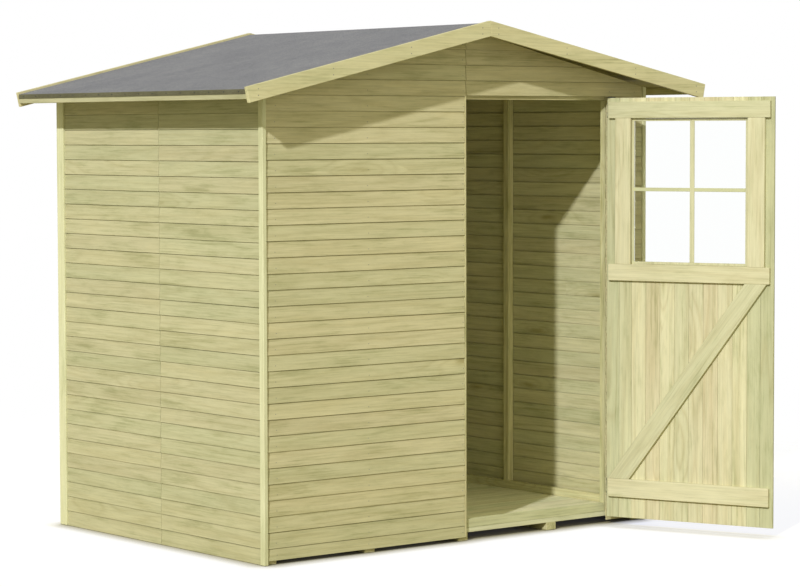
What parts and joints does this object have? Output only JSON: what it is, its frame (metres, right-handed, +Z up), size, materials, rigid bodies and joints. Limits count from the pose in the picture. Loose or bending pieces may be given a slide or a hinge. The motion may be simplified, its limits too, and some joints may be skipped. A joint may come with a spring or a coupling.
{
  "type": "wooden garden shed",
  "caption": "Small timber garden shed with lapped board walls, a felted apex roof, and a ledged and braced door with a paned window.",
  "frame": {"origin": "on the ground, at the centre of the walls", "axes": "+X to the right seen from the front, +Y to the rear, +Z up"},
  "size_m": [2.36, 2.1901, 2.07],
  "materials": {
    "boarding": "sawn, pressure treated",
    "trim": "planed, pressure treated",
    "frame_timber": "sawn",
    "floor_board": "sawn",
    "door_timber": "planed, pressure treated",
    "roof_felt": "fine mineral surface",
    "pane": "clear",
    "hinge_metal": "satin black"
  },
  "bodies": {
    "shed": {"bearers": "frame_timber", "floor_deck": "floor_board", "front_wall_left": "boarding", "front_wall_right": "boarding", "front_gable": "boarding", "left_wall_front": "boarding", "left_wall_rear": "boarding", "right_wall_front": "boarding", "right_wall_rear": "boarding", "rear_wall_left": "boarding", "rear_wall_right": "boarding", "front_studs": "frame_timber", "front_rails": "frame_timber", "threshold": "frame_timber", "door_head": "frame_timber", "left_studs": "frame_timber", "left_rails": "frame_timber", "right_studs": "frame_timber", "right_rails": "frame_timber", "rear_studs": "frame_timber", "rear_rails": "frame_timber", "ridge_beam": "frame_timber", "trim_front_left": "trim", "trim_front_right": "trim", "trim_rear_left": "trim", "trim_rear_right": "trim", "roof_left": "floor_board", "roof_right": "floor_board", "eaves_battens": "frame_timber", "fascia_left": "trim", "fascia_right": "trim", "felt_left": "roof_felt", "felt_right": "roof_felt", "barge_front_left": "trim", "barge_front_right": "trim", "barge_rear_left": "trim", "barge_rear_right": "trim", "hinge_brackets": "hinge_metal"},
    "door": {"door_boards": "door_timber", "door_ledges": "door_timber", "door_brace": "door_timber", "door_stiles": "door_timber", "window_frame": "trim", "window_glass": "pane", "hinge_straps": "hinge_metal"}
  },
  "joints": [
    {"name": "door_hinge", "type": "hinge", "parent": "shed", "child": "door", "pos_m": [0.769, -0.741, 0.9], "axis": [0, 0, 1], "range_deg": [-111, 24]}
  ]
}
